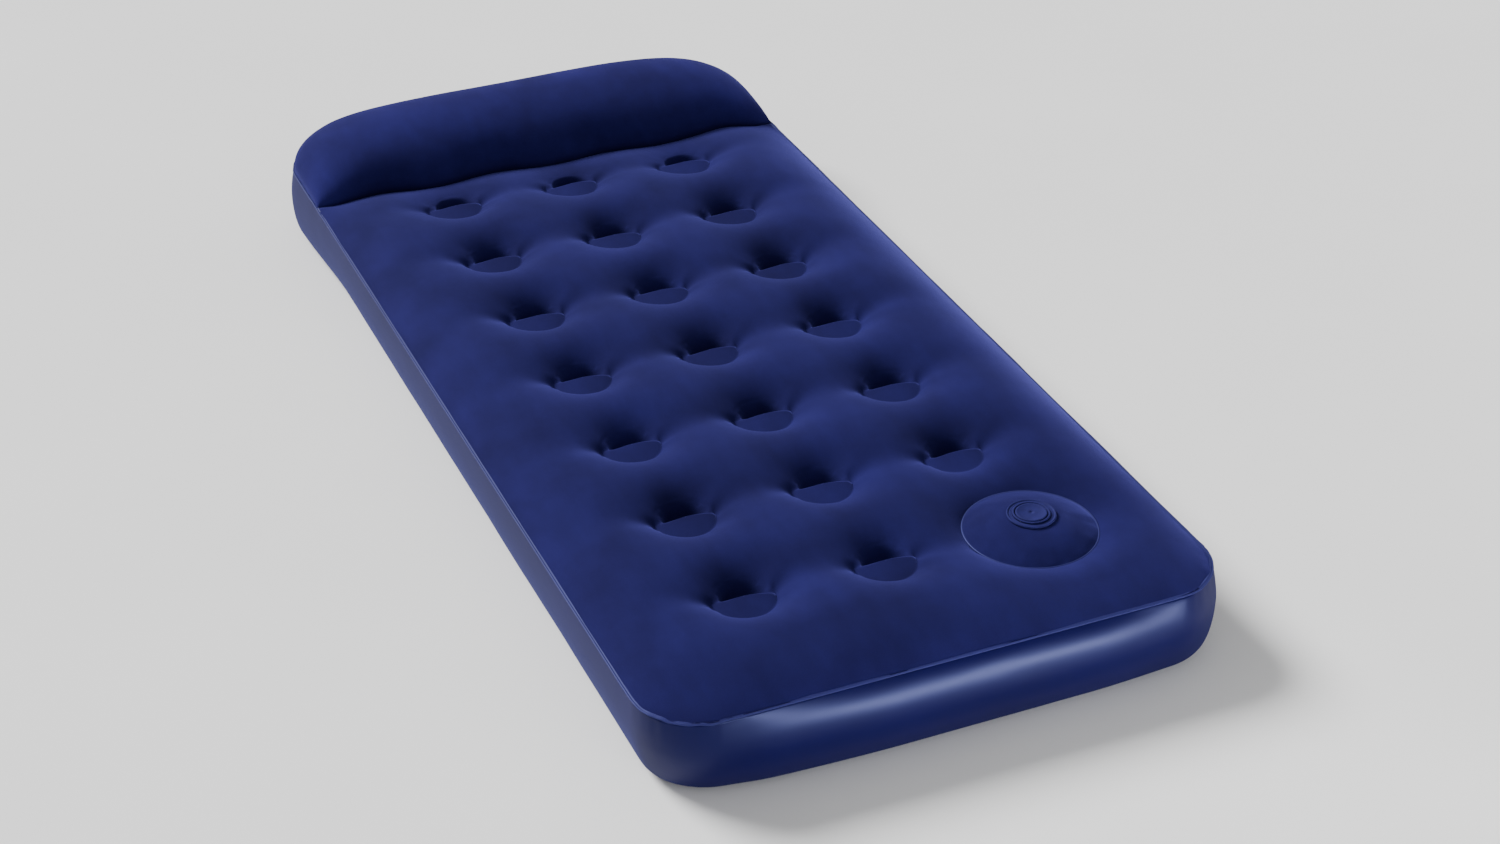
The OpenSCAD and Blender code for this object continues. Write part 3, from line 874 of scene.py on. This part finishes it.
def wall_profile(top_tilt, shoulder_r, wall_r, turn_tilt, heel_r, count=50):
    """Section of the wall from seam to floor: shoulder, wide arc and tight heel.

    The tilts are how far the wall faces up, in degrees. Returns offsets and heights.
    """
    tilt = np.concatenate([np.linspace(top_tilt, turn_tilt, count // 2)[:-1],
                           np.linspace(turn_tilt, -90, count // 2 + 1)])
    tilt = np.radians(tilt)
    middle = (tilt[1:] + tilt[:-1]) / 2
    at = np.degrees(middle)
    radius = wall_r + (shoulder_r - wall_r) * smooth((at - 14) / 20)
    radius = heel_r + (radius - heel_r) * smooth((at - turn_tilt + 6) / 12)
    step = radius * -np.diff(tilt)
    off = np.concatenate([[0], np.cumsum(step * np.sin(middle))])
    z = np.concatenate([[0], np.cumsum(-step * np.cos(middle))])
    scale = (WALL_TOP - WALL_FOOT) / -z[-1]
    return off, WALL_TOP + z * scale


def build_wall():
    """Glossy wall band: it bulges between seam and heel, and gathers under the corners.

    It is fuller along the foot and leaner on the left side.
    """
    x, y = RIM.T
    front = smooth((x + 0.42) / 0.35) * smooth((0.45 - x) / 0.25) * smooth((-0.80 - y) / 0.1)
    lean = smooth((-0.25 - x) / 0.15) * smooth((0.82 - y) / 0.3)
    corner = corner_weight(x, y)
    plain_off, plain_z = wall_profile(20, 0.160, 0.160, -16, 0.028)
    front_off, front_z = wall_profile(37, 0.070, 0.150, -25, 0.020)
    lean_off, lean_z = wall_profile(12, 0.160, 0.160, -24, 0.030)
    verts = []
    for k in range(len(plain_off)):
        off = plain_off[k] + (front_off - plain_off)[k] * front + (lean_off - plain_off)[k] * lean
        z = plain_z[k] + (front_z - plain_z)[k] * front + (lean_z - plain_z)[k] * lean
        depth = (WALL_TOP - z) / WALL_TOP
        gather = corner * np.exp(-depth / 0.28) * smooth(depth / 0.05)
        off = off + 0.0021 * gather * value_noise(RIM_S * 48, depth * 1.2, 31, 3)
        low = np.exp(-depth / 0.2) * smooth(depth / 0.05)
        off = off + 0.0007 * low * value_noise(RIM_S * 17, depth * 2, 32, 2)
        body = smooth(depth / 0.2) * smooth((1 - depth) / 0.2)
        off = off + 0.0010 * body * value_noise(RIM_S * 5, depth * 2.0, 33, 3)
        verts.append(np.column_stack([RIM + RIM_NORMAL * off[:, None], z]))
    hem = np.minimum(-HEM_EDGE, off - 0.004)
    verts.append(np.column_stack([RIM + RIM_NORMAL * hem[:, None], np.full(x.shape, WALL_FOOT)]))
    faces = grid_faces(len(verts), len(RIM), closed=True)
    return add_mesh("vinyl_wall", np.concatenate(verts), [f[::-1] for f in faces], WALL_VINYL)


def build_seam():
    """Welded flange: two beads and a groove, crinkled at the corners."""
    x, y = RIM.T
    corner = corner_weight(x, y)
    section = [(-0.0050, -0.0012), (0.0008, -0.0012), (0.0022, -0.0008), (0.0030, 0.0004),
               (0.0024, 0.0016), (0.0010, 0.0018), (0.0002, 0.0010), (-0.0008, 0.0018),
               (-0.0022, 0.0022), (-0.0036, 0.0016), (-0.0050, 0.0006)]
    wave = value_noise(RIM_S * 70, 0 * x, 41, 3)
    slow = value_noise(RIM_S * 16, 0 * x, 42, 2)
    verts = []
    for off, up in section:
        out = off + 0.0012 * corner * wave + 0.0004 * slow
        p = RIM + RIM_NORMAL * out[:, None]
        z = SEAM_Z - 0.001 + up + 0.0012 * corner * np.roll(wave, 5) + 0.0004 * slow
        verts.append(np.column_stack([p, z]))
    faces = tube_faces(len(section), len(RIM))
    # the flange's paler vinyl is a painted highlight along the seam
    return add_mesh("top_seam_weld", np.concatenate(verts), faces, SEAM_VINYL_PAINTED_HIGHLIGHT)


# --- Pump -------------------------------------------------------------------------------------


INTAKE_STEM = 0.014


def pump_bend(obj):
    """Bake a skin's placement into its mesh."""
    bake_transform(obj)


def build_dome():
    """Flocked dome, fullest near its shoulder, drawn in by the weld round its foot."""
    hole = 0.0295
    crown_r = 0.030
    height = DOME_HI[2] - PUMP_Z
    rings = []
    segments = 144
    angle = np.linspace(0, 2 * math.pi, segments, endpoint=False)
    for v in pinch(44, 0.5):
        r = PUMP_R - 0.0005 + (hole - PUMP_R) * v
        share = np.clip((r - crown_r) / (PUMP_R - crown_r), 0, 1)
        z = PUMP_Z + height * (1 - share**1.6)
        edge = np.exp(-(PUMP_R - r) / 0.014) * smooth((PUMP_R - r) / 0.004)
        pleat = value_noise(np.cos(angle) * 7 + 20, np.sin(angle) * 7 + 20, 51, 2)
        soft = value_noise(np.cos(angle) * r * 30 + 9, np.sin(angle) * r * 30 + 9, 52, 2)
        mid = smooth((PUMP_R - r) / 0.01) * smooth((r - 0.036) / 0.012)
        zz = z + 0.0011 * edge * pleat + 0.0012 * mid * soft
        rings.append(np.column_stack([PUMP_X + r * np.cos(angle), PUMP_Y + r * np.sin(angle), zz]))
    faces = grid_faces(len(rings), segments, closed=True)
    return add_mesh("flocked_dome", np.concatenate(rings), faces, FLOCK)


def build_pump_ring():
    """Round weld at the foot of the dome: a flat band with two fine beads."""
    z = PUMP_Z
    profile = [(PUMP_R - 0.006, z - 0.0018), (PUMP_R + 0.0005, z - 0.0018),
               (PUMP_R + 0.0016, z - 0.0004), (PUMP_R + 0.0010, z + 0.0010),
               (PUMP_R - 0.0004, z + 0.0013), (PUMP_R - 0.0016, z + 0.0003),
               (PUMP_R - 0.0030, z + 0.0006), (PUMP_R - 0.006, z + 0.0002)]
    # the paler weld vinyl paints a light line round the dome: a painted highlight
    return lathe("pump_ring_weld", profile, SEAM_VINYL_PAINTED_HIGHLIGHT, 160)


def build_intake():
    """Moulded intake plate: a rounded rim, fine rings and the collar round the stopper."""
    lo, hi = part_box("intake_body")
    plate = lo[2] + INTAKE_STEM
    outer = (hi[0] - lo[0]) / 2
    top = hi[2]
    bore = 0.0145
    seat = plate + 0.0016
    profile = [(bore, lo[2]), (bore + 0.003, lo[2]), (bore + 0.003, plate - 0.002),
               (0.0285, plate - 0.002), (0.0287, plate), (outer - 0.0006, plate),
               (outer, plate + 0.0008), (outer - 0.0006, plate + 0.0026),
               (outer - 0.0016, plate + 0.0032), (outer - 0.0028, plate + 0.0026),
               (outer - 0.0036, seat)]
    for k in range(2):
        r = outer - 0.0048 - 0.0022 * k
        profile += [(r, seat), (r - 0.0005, seat + 0.0003), (r - 0.0011, seat + 0.0003),
                    (r - 0.0016, seat)]
    profile += [(0.0276, seat), (0.0272, top - 0.0008), (0.0266, top), (0.0250, top),
                (0.0243, top - 0.0006), (0.0240, seat), (bore, seat)]
    return lathe("intake_ring", profile, MOULDED, 128)


def build_plug():
    """Round stopper with a grip groove, and the hollow stem that plugs the bore."""
    lo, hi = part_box("intake_plug")
    r = (hi[0] - lo[0]) / 2
    top = hi[2]
    seat = top - 0.003
    profile = [(0.0005, seat), (0.0110, seat), (0.0112, lo[2]), (0.0136, lo[2]),
               (0.0142, lo[2] + 0.0008), (0.0142, seat), (r - 0.001, seat), (r, seat + 0.0009),
               (r, top - 0.0010), (r - 0.0010, top), (r - 0.0030, top), (r - 0.0036, top - 0.0004),
               (0.0060, top - 0.0006), (0.0005, top - 0.0006)]
    return lathe("intake_stopper", profile, MOULDED, 112)


def build_foam():
    """Foam ring in the well, with soft edges and uneven cut faces."""
    lo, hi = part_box("pump_foam")
    outer = (hi[0] - lo[0]) / 2 - 0.001
    inner = 0.0365
    low, high = lo[2] + 0.0004, hi[2] - 0.009
    shoulder = PUMP_Z - 0.004
    profile = [(inner + 0.002, low), (outer - 0.004, low), (outer, low + 0.004)]
    profile += [(outer, low + (shoulder - low) * t) for t in (0.3, 0.6, 0.9, 1.0)]
    for t in (0.15, 0.35, 0.55, 0.75, 1.0):
        rise = math.sin(t * math.pi / 2)
        profile.append((outer - (outer - inner - 0.006) * t, shoulder + (high - shoulder) * rise))
    profile += [(inner, high - 0.004), (inner, (low + high) / 2), (inner, low + 0.003)]
    obj = lathe("pump_foam_block", profile, FOAM, 96)
    for v in obj.data.vertices:
        x, y, z = v.co
        n = float(value_noise(np.array([x * 60 + z * 37]), np.array([y * 60 + z * 29]), 61, 2)[0])
        a = math.atan2(y - PUMP_Y, x - PUMP_X)
        v.co.x += 0.0006 * (n - 1) * math.cos(a)
        v.co.y += 0.0006 * (n - 1) * math.sin(a)
    return obj


# --- Put the object together ------------------------------------------------------------------

build_sleeping_surface()
build_pillow()

wall = build_wall()
solidify(wall, 0.0010)
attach(wall, "bed")
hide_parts("side_wall")

seam = build_seam()
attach(seam, "bed")
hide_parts("top_seam")

dome = build_dome()
pump_bend(dome)
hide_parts("pump_dome")

weld = build_pump_ring()
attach(weld, "bed")
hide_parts("pump_ring")

intake = build_intake()
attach(intake, "intake")
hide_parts("intake_body")

plug = build_plug()
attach(plug, "plug")
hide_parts("intake_plug")

foam = build_foam()
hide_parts("pump_foam")
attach(foam, "bed")
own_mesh(foam)

CAD_FINISH = {
    BASE_VINYL: ["bottom_sheet", "bottom_seam", "crease_seam"],
    INNER_VINYL: ["pillow_beam", "pump_well"] + [n for n in NODES if n.startswith("coil_beam")],
    MOULDED: ["outlet_seat", "valve_insert", "valve_cap", "valve_strap"],
    RUBBER: ["intake_flap", "outlet_flap", "valve_seal", "valve_disc"],
    WALL_VINYL: ["valve_patch"],
}
for material, names in CAD_FINISH.items():
    for name in names:
        node = NODES[name]
        node.data.materials.clear()
        node.data.materials.append(material)
        if name.startswith("valve") or name == "outlet_seat":
            bevel = node.modifiers.new("edges", "BEVEL")
            bevel.width = 0.0004
            bevel.segments = 2
            bevel.limit_method = "ANGLE"


# --- Floor, light and camera ------------------------------------------------------------------


def aim(obj, target):
    """Turn a light or the camera towards a point."""
    direction = Vector(target) - obj.location
    obj.rotation_euler = direction.to_track_quat("-Z", "Y").to_euler()


def add_light(name, kind, place, target, power, **settings):
    data = bpy.data.lights.new(name, kind)
    data.energy = power
    for key, value in settings.items():
        setattr(data, key, value)
    light = bpy.data.objects.new(name, data)
    light.location = place
    aim(light, target)
    bpy.context.scene.collection.objects.link(light)


floor_material = Shader("pale_floor", Roughness=0.9)
floor_tones = [(0.3, grey(0.90)), (0.7, grey(0.93))]
floor_material.colour(floor_material.ramp(floor_material.noise(2, 3), floor_tones))
FLOOR = 14
floor_corners = [(-FLOOR, -FLOOR, 0), (FLOOR, -FLOOR, 0), (FLOOR, FLOOR, 0), (-FLOOR, FLOOR, 0)]
floor = add_mesh("floor", floor_corners, [(0, 1, 2, 3)], floor_material.material)
floor.location.z = -0.0005

world = bpy.data.worlds.new("studio")
bpy.context.scene.world = world
world.use_nodes = True
background = world.node_tree.nodes["Background"]
background.inputs["Color"].default_value = (1, 1, 1, 1)
background.inputs["Strength"].default_value = 0.42

add_light("back_key", "SUN", (-1.8, 2.9, 2.6), (0, 0, 0), 6.0, angle=math.radians(24))
add_light("front_band", "AREA", (0.43, -1.95, 0.09), (0.05, -0.94, 0.09), 1.15,
          shape="RECTANGLE", size=0.9, size_y=0.11, spread=math.radians(34))
add_light("front_fill", "AREA", (-0.6, -4.6, 2.6), (0, 0, 0.1), 24,
          shape="RECTANGLE", size=3.0, size_y=2.0)

camera_data = bpy.data.cameras.new("camera")
camera = bpy.data.objects.new("camera", camera_data)
bpy.context.scene.collection.objects.link(camera)
camera.location = (-1.3711, -3.3962, 2.2420)
aim(camera, (-0.0192, -0.2840, 0.125))
camera_data.lens = 63.27
camera_data.sensor_width = 36
bpy.context.scene.camera = camera
